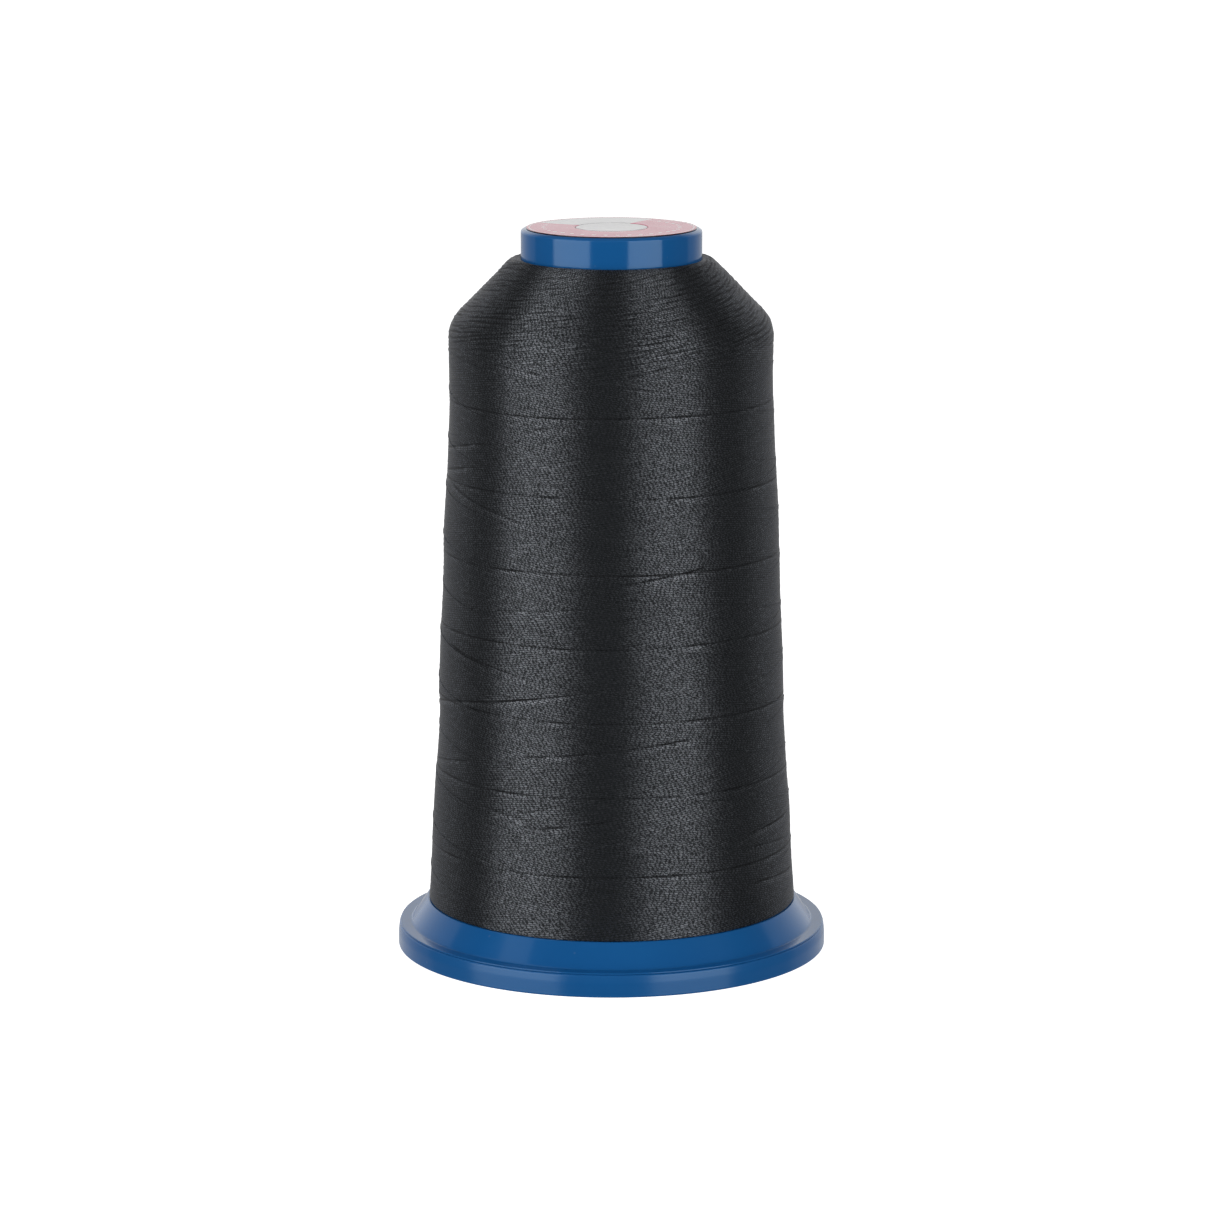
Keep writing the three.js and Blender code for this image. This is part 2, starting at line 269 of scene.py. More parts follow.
def makeStudio(spec):
    addFloor(spec)
    for name, azimuth, width in spec["boxes"]:
        for part, low, high, glow in spec["panels"]:
            addPanel(name + part, azimuth, 0, spec["boxDistance"], (low + high) / 2, width, high - low, glow)
    for key in ("overhead", "fill"):
        lamp = spec[key]
        light = addPanel(key + "Box", lamp["azimuth"], lamp["elevation"], lamp["distance"], spec["aimHeight"],
                         lamp["size"], lamp["size"], lamp["glow"])
        light.visible_glossy = lamp["inGloss"]
    makeRoom(spec)


setCamera(photoCamera)
makeStudio(studio)
print("camera and studio set")


def smoothCurve(keys, at):      # a smooth line through given (place, value) points
    places = np.array([key[0] for key in keys], float)
    values = np.array([key[1] for key in keys], float)
    slopes = np.gradient(values, places)
    at = np.clip(at, places[0], places[-1])
    i = np.clip(np.searchsorted(places, at) - 1, 0, len(places) - 2)
    width = places[i + 1] - places[i]
    t = (at - places[i]) / width
    start = (2 * t**3 - 3 * t**2 + 1) * values[i] + (t**3 - 2 * t**2 + t) * width * slopes[i]
    end = (3 * t**2 - 2 * t**3) * values[i + 1] + (t**3 - t**2) * width * slopes[i + 1]
    return start + end


def smoothStep(low, high, at):
    t = np.clip((at - low) / (high - low), 0, 1)
    return t * t * (3 - 2 * t)


# a closed outline of (radius, height, rounding) corners in mm: each corner becomes an arc, and a point
# just past each arc keeps the flats flat when they are shaded smooth
def roundedLoop(corners, pieces=5, support=0.15):
    points = []
    count = len(corners)
    for i, (x, z, rounding) in enumerate(corners):
        here = np.array((x, z), float)
        back = np.array(corners[i - 1][:2]) - here
        ahead = np.array(corners[(i + 1) % count][:2]) - here
        backLength, aheadLength = np.hypot(*back), np.hypot(*ahead)
        back, ahead = back / backLength, ahead / aheadLength
        half = math.acos(np.clip(back @ ahead, -0.9999, 0.9999)) / 2
        reach = min(rounding / math.tan(half), 0.4 * backLength, 0.4 * aheadLength)
        radius = reach * math.tan(half)
        middle = (back + ahead) / np.hypot(*(back + ahead))
        centre = here + middle * radius / math.sin(half)
        start, end = here + back * reach - centre, here + ahead * reach - centre
        turn = math.pi - 2 * half
        points.append(here + back * min(reach + support, 0.45 * backLength))
        for k in range(pieces + 1):
            t = k / pieces
            arm = math.sin((1 - t) * turn) * start + math.sin(t * turn) * end
            points.append(centre + arm / math.sin(turn))
        points.append(here + ahead * min(reach + support, 0.45 * aheadLength))
    return np.array(points)


def skinMesh(name, corners, faces):
    mesh = bpy.data.meshes.new(name)
    mesh.from_pydata(corners.reshape(-1, 3).tolist(), [], faces)
    mesh.polygons.foreach_set("use_smooth", [True] * len(mesh.polygons))
    mesh.update()
    return mesh


# radius and height of every ring at every angle, in metres, joined into one closed skin
def ringMesh(name, radius, height, angles):
    rings, columns = radius.shape
    corners = np.stack([radius * np.cos(angles), radius * np.sin(angles), height], -1)
    ring = np.arange(rings)[:, None]
    column = np.arange(columns)[None, :]
    nextRing, nextColumn = (ring + 1) % rings, (column + 1) % columns
    faces = np.stack([ring * columns + column, ring * columns + nextColumn,
                      nextRing * columns + nextColumn, nextRing * columns + column], -1)
    return skinMesh(name, corners, faces.reshape(-1, 4).tolist())


def addPiece(name, mesh, body, material, node):
    piece = bpy.data.objects.new(name, mesh)
    bpy.context.scene.collection.objects.link(piece)
    mesh.materials.append(material)
    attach(piece, body)
    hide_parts(node)
    print(name, "made,", len(mesh.polygons), "faces")


# angles all round, with three close ones at each edge of every (middle, half width) gap, all in degrees
def anglesWithEdges(columns, gaps, sharp=0.03):
    angles = list(np.arange(columns) * 360 / columns)
    for middle, half in gaps:
        for edge in (middle - half, middle + half):
            angles = [a for a in angles if abs((a - edge + 180) % 360 - 180) > 4 * sharp]
            angles += [(edge - sharp) % 360, edge % 360, (edge + sharp) % 360]
    return np.sort(np.array(angles))


def insideGap(angle, gaps):
    return any(abs((angle - middle + 180) % 360 - 180) < half - 1e-6 for middle, half in gaps)


# one outline for each angle, all with as many points
def turnedMesh(name, outlineAt, degrees):
    outlines = np.stack([outlineAt(angle) for angle in degrees], 1) * mm
    return ringMesh(name, outlines[..., 0], outlines[..., 1], np.radians(degrees))


# where a point lies on a turned piece: round it in turns, up it in metres, and out from the axis
def makeRoundCoords():
    group, tree, _, end = newGroup("roundCoords", [], [("Turn", "Float"), ("Height", "Float"),
                                                       ("Out", "Float"), ("Point", "Vector")])
    coords = tree.add("TexCoord")
    split = tree.add("SeparateXYZ")
    tree.feed(split.inputs[0], coords.outputs["Object"])
    turn = tree.math("DIVIDE", tree.math("ARCTAN2", split.outputs[1], split.outputs[0]), tau)
    out = tree.math("SQRT", tree.math("ADD", tree.math("POWER", split.outputs[0], 2.0),
                                      tree.math("POWER", split.outputs[1], 2.0)))
    for label, value in (("Turn", turn), ("Height", split.outputs[2]), ("Out", out),
                         ("Point", coords.outputs["Object"])):
        tree.feed(end.inputs[label], value)
    return group


handling = dict(
    rubbedSpan=(0.45, 0.75),       # of the patches' noise: bare to fully rubbed
    speckScale=420.0,
    speckSize=(0.05, 0.13),        # in its own cell: solid middle, edge
    speckPlaces=130.0,
    speckGap=0.60,         # where this noise is lower, there are none
    grainScale=900.0,
)


# faint handling marks: dust specks, rubbed patches and a fine grain
def makeHandling(spec):
    group, tree, start, end = newGroup(
        "handlingMarks", [("Point", "Vector", None), ("Patch Size", "Float", 60.0), ("Amount", "Float", 0.5)],
        [("Dust", "Float"), ("Rubbed", "Float"), ("Grain", "Float")])
    point, amount = start.outputs["Point"], start.outputs["Amount"]
    patches = tree.noise(point, start.outputs["Patch Size"], 4.0, 0.6)
    tree.feed(end.inputs["Rubbed"], tree.math("MULTIPLY", tree.span(patches, *spec["rubbedSpan"]), amount))
    specks = tree.add("TexVoronoi", feature="F1")
    tree.feed(specks.inputs["Vector"], point)
    specks.inputs["Scale"].default_value = spec["speckScale"]
    near = tree.span(specks.outputs["Distance"], *spec["speckSize"], 1.0, 0.0)
    chosen = tree.math("GREATER_THAN", tree.noise(point, spec["speckPlaces"], 2.0), spec["speckGap"])
    tree.feed(end.inputs["Dust"], tree.math("MULTIPLY", tree.math("MULTIPLY", near, chosen), amount))
    tree.feed(end.inputs["Grain"], tree.noise(point, spec["grainScale"], 3.0, 0.6))
    return group


roundCoords = makeRoundCoords()
handlingMarks = makeHandling(handling)


bluePlastic = dict(
    deep=(0.0095, 0.118, 0.362, 1),
    pale=(0.0125, 0.136, 0.404, 1),
    dust=(0.10, 0.20, 0.40, 1),
    roughness=(0.09, 0.17),
    baseRoughness=(0.18, 0.26),
    marks=0.35,
    patchSize=55.0,
    cloudScale=42.0,
    cloudSpan=(0.3, 0.7),
    cloudShare=0.35,       # of the roughness that follows the clouds
    rippleScale=160.0,     # the slow ripple that shrinkage leaves
    grainShare=0.25,       # and the fine matt grain on it
    skinStrength=0.5,
    skinDepth=0.006 * mm,
    index=1.6,
    glossTint=(0.62, 0.83, 1.0, 1),     # the plastic's own blue shows in its gloss
)


def makeBluePlastic(spec, name, roughness):
    material, tree, shader = newMaterial(name)
    place = placeGroup(tree, roundCoords)
    point = place.outputs["Point"]
    marks = placeGroup(tree, handlingMarks, **{"Point": point, "Patch Size": spec["patchSize"],
                                               "Amount": spec["marks"]})
    cloud = tree.noise(point, spec["cloudScale"], 4.0, 0.55, 0.4)
    colour = tree.mixColor(tree.span(cloud, *spec["cloudSpan"]), spec["deep"], spec["pale"])
    tree.feed(shader.inputs["Base Color"], tree.mixColor(marks.outputs["Dust"], colour, spec["dust"]))
    cloudy = tree.span(cloud, *spec["cloudSpan"], 0.0, spec["cloudShare"])
    uneven = tree.math("ADD", cloudy, marks.outputs["Rubbed"])
    tree.feed(shader.inputs["Roughness"], tree.span(uneven, 0.0, 1.0, *roughness))
    height = tree.math("ADD", tree.noise(point, spec["rippleScale"], 2.0, 0.5),
                       tree.math("MULTIPLY", marks.outputs["Grain"], spec["grainShare"]))
    setBump(tree, shader, height, spec["skinStrength"], spec["skinDepth"])
    shader.inputs["IOR"].default_value = spec["index"]
    shader.inputs["Specular Tint"].default_value = spec["glossTint"]
    return material


blueMaterial = makeBluePlastic(bluePlastic, "bluePlastic", bluePlastic["roughness"])
blueBaseMaterial = makeBluePlastic(bluePlastic, "bluePlasticBase", bluePlastic["baseRoughness"])


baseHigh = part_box("snap_base")[1]
labelLow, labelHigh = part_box("top_label")
bodyLow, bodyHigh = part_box("spool_body")
snapBase = dict(
    columns=288,
    outerRadius=baseHigh.x / mm,
    bandDraft=0.22,        # the band leans in by this much to its top
    bandTop=3.85,
    bandShoulder=1.5,      # over this height
    bandWall=1.7,
    plate=1.2,
    sleeveInner=25.6,
    sleeveOuter=26.9,
    sleeveTop=baseHigh.z / mm,
    hookReach=0.8,
    hookHeight=1.0,
    fingerMiddles=(45, 135, 225, 315),
    fingerHalf=13.0,
    slotHalf=1.34,         # degrees, for a slot 1.2 mm wide
)


def snapBaseOutline(angle, spec, slots, fingers):
    slotted = insideGap(angle, slots)
    hooked = insideGap(angle, fingers) and not slotted
    top = spec["plate"] + 0.15 if slotted else spec["sleeveTop"]
    hookUnder = spec["plate"] + 0.1 if slotted else top - spec["hookHeight"]
    reach = spec["sleeveInner"] - (spec["hookReach"] if hooked else 0.02)
    bandTopRadius = spec["outerRadius"] - spec["bandDraft"]
    return roundedLoop([
        (spec["sleeveInner"], 0.0, 0.25),
        (spec["outerRadius"], 0.0, 0.22),
        (spec["outerRadius"] - 0.02, spec["bandTop"] - spec["bandShoulder"], 6.0),
        (bandTopRadius, spec["bandTop"], 0.3),
        (bandTopRadius - spec["bandWall"], spec["bandTop"], 0.3),
        (bandTopRadius - spec["bandWall"], spec["plate"], 0.5),
        (spec["sleeveOuter"], spec["plate"], 0.04 if slotted else 0.5),
        (spec["sleeveOuter"], top, 0.02 if slotted else 0.3),
        (reach, top, 0.02 if slotted else 0.35),
        (reach, hookUnder, 0.01 if slotted else 0.15),
        (spec["sleeveInner"], hookUnder - 0.05, 0.01),
    ])


def makeSnapBase(spec):
    edge = spec["fingerHalf"] + spec["slotHalf"]
    slots = [(middle + side * edge, spec["slotHalf"]) for middle in spec["fingerMiddles"] for side in (-1, 1)]
    fingers = [(middle, spec["fingerHalf"]) for middle in spec["fingerMiddles"]]
    degrees = anglesWithEdges(spec["columns"], slots)
    mesh = turnedMesh("snapBase", lambda angle: snapBaseOutline(angle, spec, slots, fingers), degrees)
    addPiece("snapBase", mesh, "base", blueBaseMaterial, "snap_base")


makeSnapBase(snapBase)


spoolBody = dict(
    columns=288,
    wall=1.5,
    rimRadius=bodyHigh.x / mm,
    rimTop=4.15,
    rimThickness=0.26,     # where it lies over the snap base
    rimInset=0.28,         # its upright edge stands this far in
    toeRadius=34.8,        # inner edge of the rim's flat
    flangeTop=8.2,
    flangeRadius=32.0,
    coreFoot=24.5,
    coreTop=14.6,
    collarBottom=117.4,
    collarRadius=15.43,
    collarTop=labelLow.z / mm,
    collarBevel=(0.62, 0.34),      # across and down
    spindleRadius=5.5,
    guideWall=1.5,
    guideLength=7.5,
    web=1.6,
    skirtBottom=bodyLow.z / mm,
    beadDepth=0.8,
    beadHeight=1.0,
    beadChamfer=0.5,
    ribCount=6,
    ribHalf=3.4,           # degrees, for a rib 1.2 mm thick
    ribDrop=5.3,
)


def spoolBodyOutline(angle, spec, ribs):
    webUnder = spec["collarTop"] - spec["web"]
    ribUnder = webUnder - (spec["ribDrop"] if insideGap(angle, ribs) else 0)
    bead = spec["coreFoot"] + spec["beadDepth"]
    beadTop = spec["skirtBottom"] + spec["beadHeight"]
    rimEdge, rimUnder = spec["rimRadius"] - spec["rimInset"], spec["rimTop"] - spec["rimThickness"]
    flangeUnder = spec["flangeTop"] - spec["wall"]
    guideOuter = spec["spindleRadius"] + spec["guideWall"]
    guideBottom = webUnder - spec["guideLength"]
    coreInner = spec["coreTop"] - spec["wall"]
    shoulder = spec["collarRadius"] - spec["coreTop"]
    bevelAcross, bevelDown = spec["collarBevel"]
    return roundedLoop([
        (spec["coreFoot"] - spec["wall"], spec["skirtBottom"], 0.25),
        (bead - spec["beadChamfer"], spec["skirtBottom"], 0.2),
        (bead, spec["skirtBottom"] + spec["beadChamfer"], 0.2),
        (bead, beadTop, 0.12),
        (spec["coreFoot"], beadTop, 0.15),
        (spec["coreFoot"], flangeUnder, 0.5),
        (spec["flangeRadius"] - spec["wall"], flangeUnder, 0.6),
        (spec["toeRadius"] - spec["wall"], rimUnder, 0.5),
        (rimEdge, rimUnder, 0.05),
        (rimEdge, spec["rimTop"], 0.1),
        (spec["toeRadius"], spec["rimTop"], 0.45),
        (spec["flangeRadius"], spec["flangeTop"], 0.2),
        (spec["coreFoot"], spec["flangeTop"], 1.2),
        (spec["coreTop"], spec["collarBottom"], 0.6),
        (spec["collarRadius"], spec["collarBottom"] + shoulder, 0.5),
        (spec["collarRadius"], spec["collarTop"] - bevelDown, 0.35),
        (spec["collarRadius"] - bevelAcross, spec["collarTop"], 0.5),
        (spec["spindleRadius"], spec["collarTop"], 0.3),
        (spec["spindleRadius"], guideBottom, 0.3),
        (guideOuter, guideBottom, 0.3),
        (guideOuter, ribUnder, 0.3),
        (coreInner, ribUnder, 0.5),
        (coreInner, spec["collarBottom"] - 0.5, 1.5),
        (spec["coreFoot"] - spec["wall"], spec["flangeTop"], 2.0),
    ])


def makeSpoolBody(spec):
    ribs = [(i * 360 / spec["ribCount"], spec["ribHalf"]) for i in range(spec["ribCount"])]
    degrees = anglesWithEdges(spec["columns"], ribs)
    mesh = turnedMesh("spoolBody", lambda angle: spoolBodyOutline(angle, spec, ribs), degrees)
    addPiece("spoolBody", mesh, "spool", blueMaterial, "spool_body")


makeSpoolBody(spoolBody)
print("spool body and snap base done")


winding = dict(
    columns=192,
    rowStep=0.16,
    coneStep=0.12,         # rows stand closer on the cone
    bottom=8.21,           # resting on the flange
    footEdge=0.35,
    footPoints=6,
    side=[(8.2, 31.82), (15.5, 31.32), (26, 30.70), (36.8, 29.98), (41, 29.76), (45.5, 29.84),
          (50, 29.70), (60.6, 29.14), (76.4, 28.58), (86.8, 28.03), (97, 27.73), (112, 27.70)],
    cornerHeight=108.82,   # where the side and the cone would meet
    shoulderRound=6.2,
    shoulderPoints=30,
    coneLean=43.9,         # degrees from the vertical
    coneTop=119.1,
    lipRound=2.3,
    lipPoints=22,
    lipEnd=150,            # degrees to which the lip turns in
    boreTop=15.42,
    bore=[(15.42, 118.4), (15.0, 117.2), (24.9, 9.7), (26.1, 8.21), (28.5, 8.21)],     # round the core
    fadeRows=7,            # over which the winding's relief begins and ends
    pitch=25.92,           # climb of the thread in one turn: 72 strands
    upFront=(-43.0, 47.5),     # a point on the newest turn going up: degrees right of the camera, height
    downFront=(-43.0, 53.6),
    frontStep=0.05,
    frontEdge=0.35,
    frontBlend=0.02,       # of a turn
    # waves along the thread: how many, shortest and longest in mm, spread of their slopes
    strandWaves=(26, 0.55, 3.2, 3.5),
    strandRipple=0.012,
    underShare=0.35,       # of the ripple of the turns beneath that shows
    brokenWaves=(9, 14, 23, 31),
    circles=(19.2, 32.65, 45.45, 58.0, 70.4, 83.2, 96.6),      # heights of the seams that run all round
    circleDepth=0.09,
    circleWidth=0.12,
    circleWobble=((2, 0.10), (5, 0.05)),       # waves round the spool, and how far they stray
    circleStrength=(0.68, 0.2, 0.75),      # on average, and its slow and quick changes
    circleCrease=(1.1, 0.6),       # painted shade in the groove, painted highlight on the ledge
    ledgeLift=0.42,        # turns lie proud just under a seam
    ledgeDrop=0.45,
    ledgeWidth=0.33,
    coneStart=(102.0, 109.0),      # over these heights the turns get looser
    sideShare=0.15,        # of this looseness shows lower down
    looseWaves=(44, 0.5, 1.3, 15.0),
    crossWaves=(24, 0.5, 1.2, 15.0),
    crossShare=0.3,
    coneRipple=0.05,
    coneCrease=0.6,
    creaseStart=0.25,      # depth at which the painted shade between them begins
    swell=0.07,            # the package isn't quite round or straight
    swellWaves=14,
    swellRound=6,          # fewer waves than this round the spool
    swellLengths=(9, 60),
    seed=11,
    meanRadius=29.5,
    strayWidth=0.13,
    strayFade=(0.5, 0.34),         # of its arc: where an edge ends and where it is whole
    strayLedge=(0.9, 0.1, 0.55),   # where it ends and is whole, in mm, and its height against the groove
    strayCrease=(11, 0.8, 2.0),    # painted shade in the groove, how much of it stays, painted highlight on the ledge
    # short edges where single turns lie proud: (degrees right of the camera, height, degrees of slope,
    # degrees of arc, depth)
    strayEdges=[
        (-62, 46.0, 9.5, 116, 0.15), (-48, 53.9, -8.0, 46, 0.12), (-50, 80.4, -11.0, 56, 0.10),
        (0, 40.7, 6.5, 66, 0.10), (18, 70.0, 8.0, 34, 0.12), (-35, 104.2, -5.5, 24, 0.10),
        (13, 104.4, 11.0, 14, 0.09), (10, 101.5, -6.5, 18, 0.07), (-68, 89.4, 10.0, 40, 0.13),
        (-70, 85.4, 10.0, 34, 0.12), (-18, 89.2, 11.0, 20, 0.06), (-18, 95.0, 6.5, 26, 0.08),
        (-22, 64.2, 5.0, 42, 0.06), (-70, 35.0, 10.0, 40, 0.08), (-37, 28.8, -8.0, 20, 0.10),
        (-23, 30.4, 18.0, 12, 0.09), (-12, 28.0, 9.0, 26, 0.09), (12, 24.4, -8.0, 18, 0.07),
        (62, 24.6, 2.0, 30, 0.12), (60, 21.5, -5.0, 30, 0.08), (66, 15.2, -3.5, 34, 0.12),
        (118, 36.0, 8.0, 60, 0.14), (150, 61.5, -8.0, 64, 0.14), (-140, 84.0, 8.5, 58, 0.13),
        (-118, 22.6, -7.0, 50, 0.12), (-165, 48.0, 6.0, 48, 0.12), (108, 78.5, -6.5, 40, 0.11),
        (172, 99.0, 5.0, 44, 0.11), (98, 52.0, 6.5, 30, 0.09), (-105, 66.0, 7.5, 44, 0.11),
        (-150, 39.0, -7.0, 36, 0.10), (140, 90.0, 8.0, 40, 0.10), (178, 27.0, -8.5, 50, 0.13),
    ],
)
cameraSide = -90           # the camera stands at this angle round the axis


def sideRadius(height, spec):
    return smoothCurve(spec["side"], height)


def arcPoints(centre, radius, angles):
    return [(centre[0] + radius * math.cos(a), centre[1] + radius * math.sin(a)) for a in angles]


# the package's outline round the bottom edge, up the side, over the cone and back down the bore
def packageOutline(spec):
    edge, shoulderRound, lipRound = spec["footEdge"], spec["shoulderRound"], spec["lipRound"]
    sideBottom = spec["bottom"] + edge
    footRadius = float(sideRadius(np.array(sideBottom), spec))
    footAngles = np.radians(np.linspace(-90, 0, spec["footPoints"]))
    foot = arcPoints((footRadius - edge, sideBottom), edge, footAngles)
    lean = math.radians(spec["coneLean"])
    sideTop = spec["cornerHeight"] - shoulderRound * math.tan(lean / 2)
    heights = np.arange(sideBottom, sideTop, spec["rowStep"])[1:]
    side = list(zip(sideRadius(heights, spec), heights))
    topRadius = float(sideRadius(np.array(sideTop), spec))
    shoulder = arcPoints((topRadius - shoulderRound, sideTop), shoulderRound,
                         np.linspace(0, lean, spec["shoulderPoints"]))
    rise = np.arange(spec["coneStep"], spec["coneTop"] - shoulder[-1][1], spec["coneStep"])
    cone = [(shoulder[-1][0] - h * math.tan(lean), shoulder[-1][1] + h) for h in rise]
    lipCentre = (cone[-1][0] - lipRound * math.cos(lean), cone[-1][1] - lipRound * math.sin(lean))
    lipAngles = np.linspace(lean, math.radians(spec["lipEnd"]), spec["lipPoints"])
    lip = arcPoints(lipCentre, lipRound, lipAngles[1:])
    shown = foot + side + shoulder + cone + [point for point in lip if point[0] > spec["boreTop"]]
    return np.array(shown + [(spec["boreTop"], lip[-1][1] - 0.4)] + spec["bore"]), len(shown)


def turnPhase(degreesRight, height, spec, direction):
    return degreesRight / 360 - direction * height / spec["pitch"]


# waves that run along the thread, all whole numbers round the spool so that they close
def alongThread(angle, height, spec, direction, random, count, shortest, longest, spread):
    total = np.zeros(np.broadcast(angle, height).shape)
    for i in range(count):
        length = shortest * (longest / shortest) ** random.random()
        around = round(spec["pitch"] / length + random.normal() * spread)
        phase = random.random() * tau
        total += np.sin(tau * height / length - direction * around * angle + phase)
    return total / math.sqrt(count)


# the steps at the ends of the newest turns, and where the turns going up lie on top: 1, and elsewhere 0
def frontRelief(right, height, spec):
    relief, ages = 0, []
    for direction, key in ((1, "upFront"), (-1, "downFront")):
        age = (turnPhase(*spec[key], spec, direction) - turnPhase(right, height, spec, direction)) % 1.0
        edge = smoothStep(0, spec["frontEdge"] / spec["pitch"], age)
        relief = relief + spec["frontStep"] * (1 - age) * edge
        ages.append(age)
    return relief, smoothStep(-spec["frontBlend"], spec["frontBlend"], ages[1] - ages[0])


def strandRelief(angle, height, spec, random, upOnTop):
    up, down = [alongThread(angle, height, spec, direction, random, *spec["strandWaves"])
                for direction in (1, -1)]
    top = up * upOnTop + down * (1 - upOnTop)
    under = down * upOnTop + up * (1 - upOnTop)
    return spec["strandRipple"] * (top + spec["underShare"] * under)


def seamRelief(angle, height, spec, random, broken):
    relief = crease = 0
    usual, slow, quick = spec["circleStrength"]
    dark, bright = spec["circleCrease"]
    for place in spec["circles"]:
        wobble = sum(size * np.sin(n * angle + random.random() * tau) for n, size in spec["circleWobble"])
        strength = usual + slow * np.sin(2 * angle + random.random() * tau) + quick * broken(place)
        strength = np.clip(strength, 0, 1)
        off = height - (place + wobble)
        groove = np.exp(-(off / spec["circleWidth"]) ** 2)
        ledge = spec["ledgeLift"] * np.exp(-((off + spec["ledgeDrop"]) / spec["ledgeWidth"]) ** 2)
        relief = relief + spec["circleDepth"] * strength * (ledge - groove)
        # crease: painted shade in the seam's groove, painted highlight on the ledge under it
        crease = crease + strength * (dark * groove - bright * ledge)
    return relief, crease


def strayRelief(right, height, spec, broken):
    relief = crease = 0
    ends, whole = spec["strayFade"]
    far, near, lift = spec["strayLedge"]
    dark, steady, bright = spec["strayCrease"]
    for edgeRight, edgeHeight, slope, arc, depth in spec["strayEdges"]:
        along = (right - edgeRight + 180) % 360 - 180
        line = edgeHeight + np.tan(math.radians(slope)) * np.radians(along) * spec["meanRadius"]
        fade = smoothStep(ends * arc, whole * arc, np.abs(along))
        off = height - line
        groove = np.exp(-(off / spec["strayWidth"]) ** 2)
        ledge = smoothStep(far, near, np.abs(off + spec["ledgeDrop"]))
        relief = relief + depth * fade * (lift * ledge - groove)
        shown = np.clip(steady + broken(edgeHeight), 0, 1)
        # crease: painted shade in the edge's groove, painted highlight on its ledge
        crease = crease + fade * depth * (dark * groove * shown - bright * ledge)
    return relief, crease


# on the cone single turns show, with painted shade between them
def looseRelief(angle, height, spec, random):
    loose = spec["sideShare"] + (1 - spec["sideShare"]) * smoothStep(*spec["coneStart"], height)
    turns = (alongThread(angle, height, spec, 1, random, *spec["looseWaves"])
             + spec["crossShare"] * alongThread(angle, height, spec, -1, random, *spec["crossWaves"]))
    between = np.clip(-turns - spec["creaseStart"], -0.2, 1)
    return loose * spec["coneRipple"] * turns, loose * spec["coneCrease"] * between


def swellRelief(angle, height, spec, random):
    slow = 0
    for i in range(spec["swellWaves"]):
        around = int(random.integers(0, spec["swellRound"]))
        length = random.uniform(*spec["swellLengths"])
        slow = slow + np.sin(around * angle + height * tau / length + random.random() * tau)
    return spec["swell"] * slow / math.sqrt(spec["swellWaves"])


# how far the wound surface stands off its plain outline, in mm, at an angle and a height along the outline,
# and how deep in a crease it lies, up to 1: the material paints this as shade, and values below 0 as a
# painted highlight on a ledge
def windingRelief(angle, height, spec):
    random = np.random.default_rng(spec["seed"])
    right = np.degrees(angle) - cameraSide
    fronts, upOnTop = frontRelief(right, height, spec)
    strands = strandRelief(angle, height, spec, random, upOnTop)
    waves = [(n, random.random() * tau) for n in spec["brokenWaves"]]

    def broken(shift):      # seams aren't equally deep all along
        return sum(np.sin(n * angle + phase + n * shift) for n, phase in waves) / len(waves)

    seams, seamCrease = seamRelief(angle, height, spec, random, broken)
    strays, strayCrease = strayRelief(right, height, spec, broken)
    turns, turnCrease = looseRelief(angle, height, spec, random)
    relief = fronts + strands + seams + strays + turns + swellRelief(angle, height, spec, random)
    return relief - spec["frontStep"], np.clip(seamCrease + strayCrease + turnCrease, -0.3, 1)


def woundRadius(angle, height, spec):       # of the finished surface on the package's side, in mm
    return sideRadius(height, spec) + windingRelief(angle, height, spec)[0]


def makeThreadPackage(spec, material):
    outline, shown = packageOutline(spec)
    ahead = np.roll(outline, -1, 0) - np.roll(outline, 1, 0)
    normal = np.stack([ahead[:, 1], -ahead[:, 0]], -1) / np.hypot(ahead[:, 0], ahead[:, 1])[:, None]
    steps = np.hypot(*np.diff(outline, axis=0).T)
    along = outline[0, 1] + np.concatenate([[0], np.cumsum(steps)])
    along[:spec["footPoints"]] = outline[:spec["footPoints"], 1]
    angles = np.arange(spec["columns"]) * tau / spec["columns"]
    relief, crease = windingRelief(angles[None, :], along[:, None], spec)
    index, fade = np.arange(len(outline)), spec["fadeRows"]
    keep = (smoothStep(1, fade, index) * smoothStep(shown - 1, shown - fade, index))[:, None]
    radius = (outline[:, 0:1] + normal[:, 0:1] * relief * keep) * mm
    height = (outline[:, 1:2] + normal[:, 1:2] * relief * keep) * mm
    mesh = ringMesh("threadPackage", radius, height, angles)
    # the crease attribute carries the painted shade of grooves and the painted highlight of ledges
    mesh.attributes.new("crease", "FLOAT", "POINT").data.foreach_set("value", (crease * keep).ravel())
    addPiece("threadPackage", mesh, "spool", material, "thread_package")


